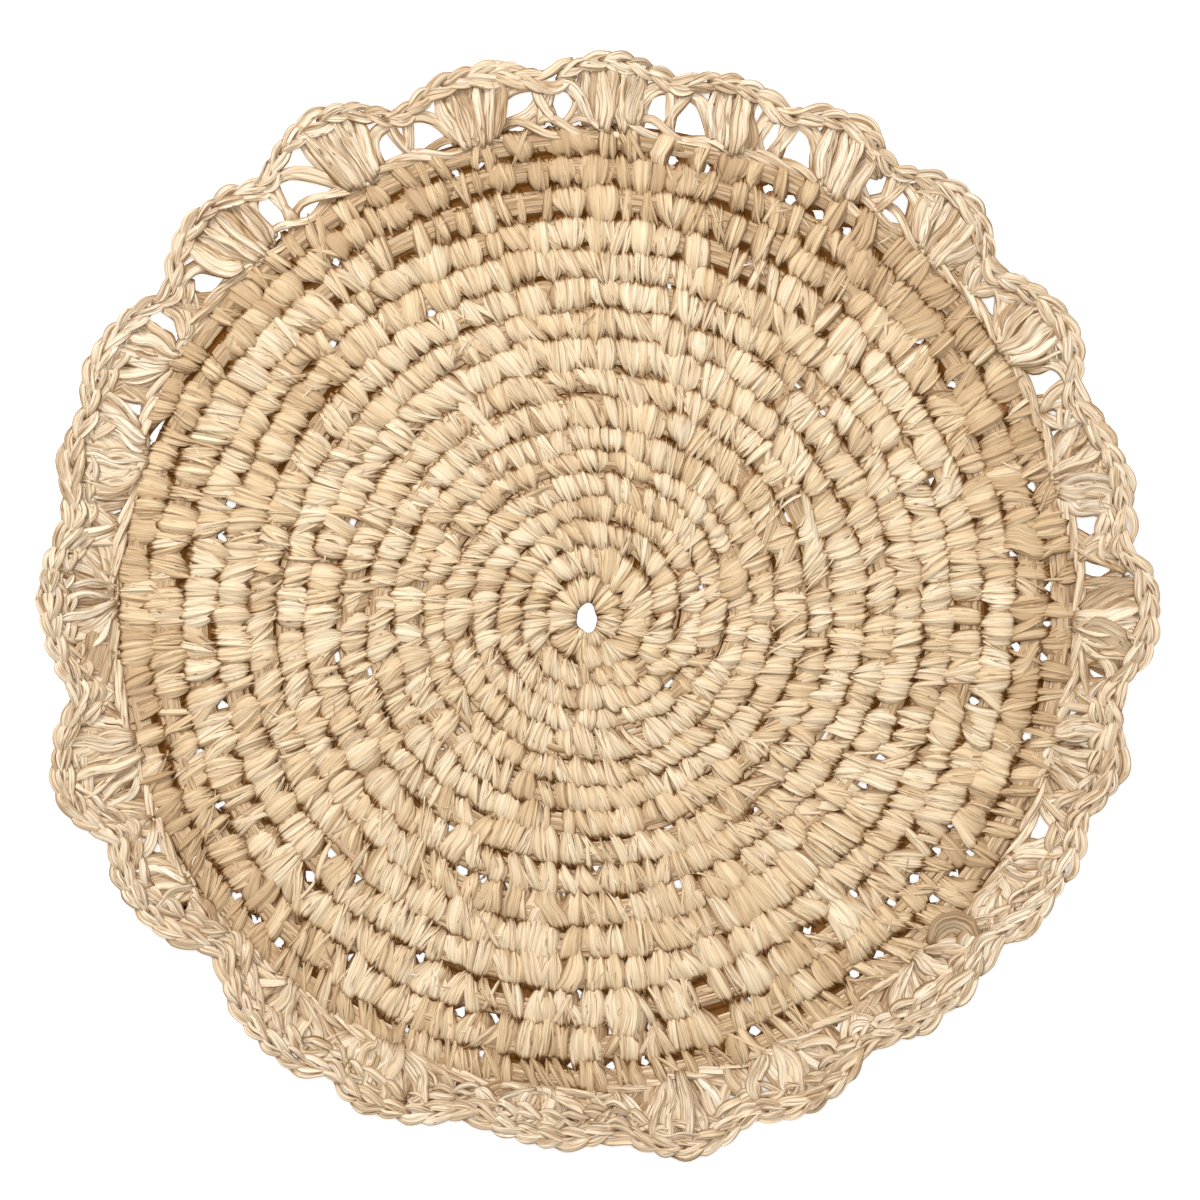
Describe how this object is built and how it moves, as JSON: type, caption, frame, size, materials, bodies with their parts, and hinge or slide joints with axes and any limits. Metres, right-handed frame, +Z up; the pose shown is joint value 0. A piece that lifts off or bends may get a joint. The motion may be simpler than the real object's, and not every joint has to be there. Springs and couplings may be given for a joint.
{
  "type": "round placemat",
  "caption": "Flat round placemat crocheted in raffia over straw, with a close spiral ground, a small eye and an openwork scalloped shell edging.",
  "frame": {"origin": "middle of the mat's bounding box, on its underside", "axes": "+Z up through the mat's thickness, the side that is shown facing up; +X to the right and +Y to the top as it is pictured from above"},
  "size_m": [0.382, 0.378, 0.0127],
  "materials": {
    "ground_raffia": "dry, softly sheened raffia",
    "edging_raffia": "dry, softly sheened raffia"
  },
  "bodies": {
    "root": {"disc": "ground_raffia", "shell_edging": "edging_raffia"}
  },
  "joints": []
}
